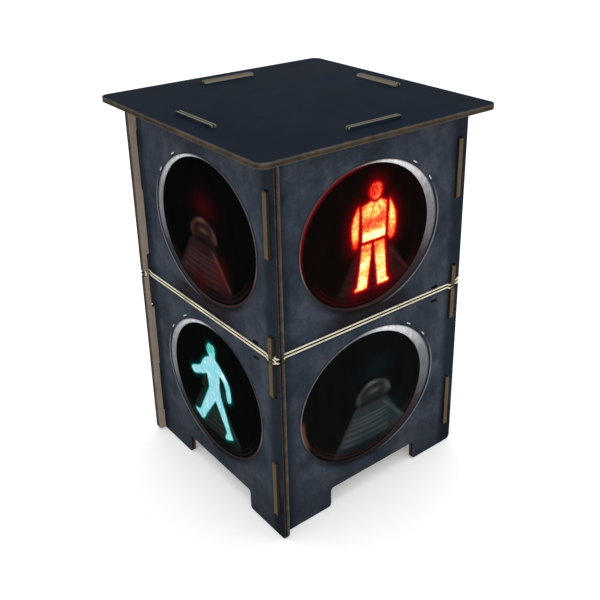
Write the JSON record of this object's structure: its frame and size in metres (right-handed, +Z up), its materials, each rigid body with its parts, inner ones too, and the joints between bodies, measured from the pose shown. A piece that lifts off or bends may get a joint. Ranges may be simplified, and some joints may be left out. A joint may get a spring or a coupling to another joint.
{
  "type": "slot-together box stool printed with traffic signal lamps",
  "caption": "Square stool of slotted boards on tab joints with rubber rings, sides printed as pedestrian signal lamps, lift-off seat.",
  "frame": {"origin": "on the floor, under the middle of the seat", "axes": "+Z up; -Y is the front wall's outward direction, +X the right wall's"},
  "size_m": [0.295, 0.295, 0.423],
  "materials": {
    "printed_board": "satin printed dark slate film on fibreboard, brown cut edges",
    "raw_board": "raw medium-density fibreboard, matt",
    "rubber_ring": "matt cream natural rubber"
  },
  "bodies": {
    "carcass": {"wall_front": "printed_board", "wall_right": "printed_board", "wall_back": "printed_board", "wall_left": "printed_board", "brace_board_lower": "raw_board", "brace_board_upper": "raw_board", "ring_front": "rubber_ring", "ring_right": "rubber_ring", "ring_back": "rubber_ring", "ring_left": "rubber_ring"},
    "seat": {"seat_plate": "printed_board"}
  },
  "joints": [
    {"name": "seat_lift", "type": "slide", "parent": "carcass", "child": "seat", "axis": [0, 0, 1], "range_m": [0, 0.05]}
  ]
}
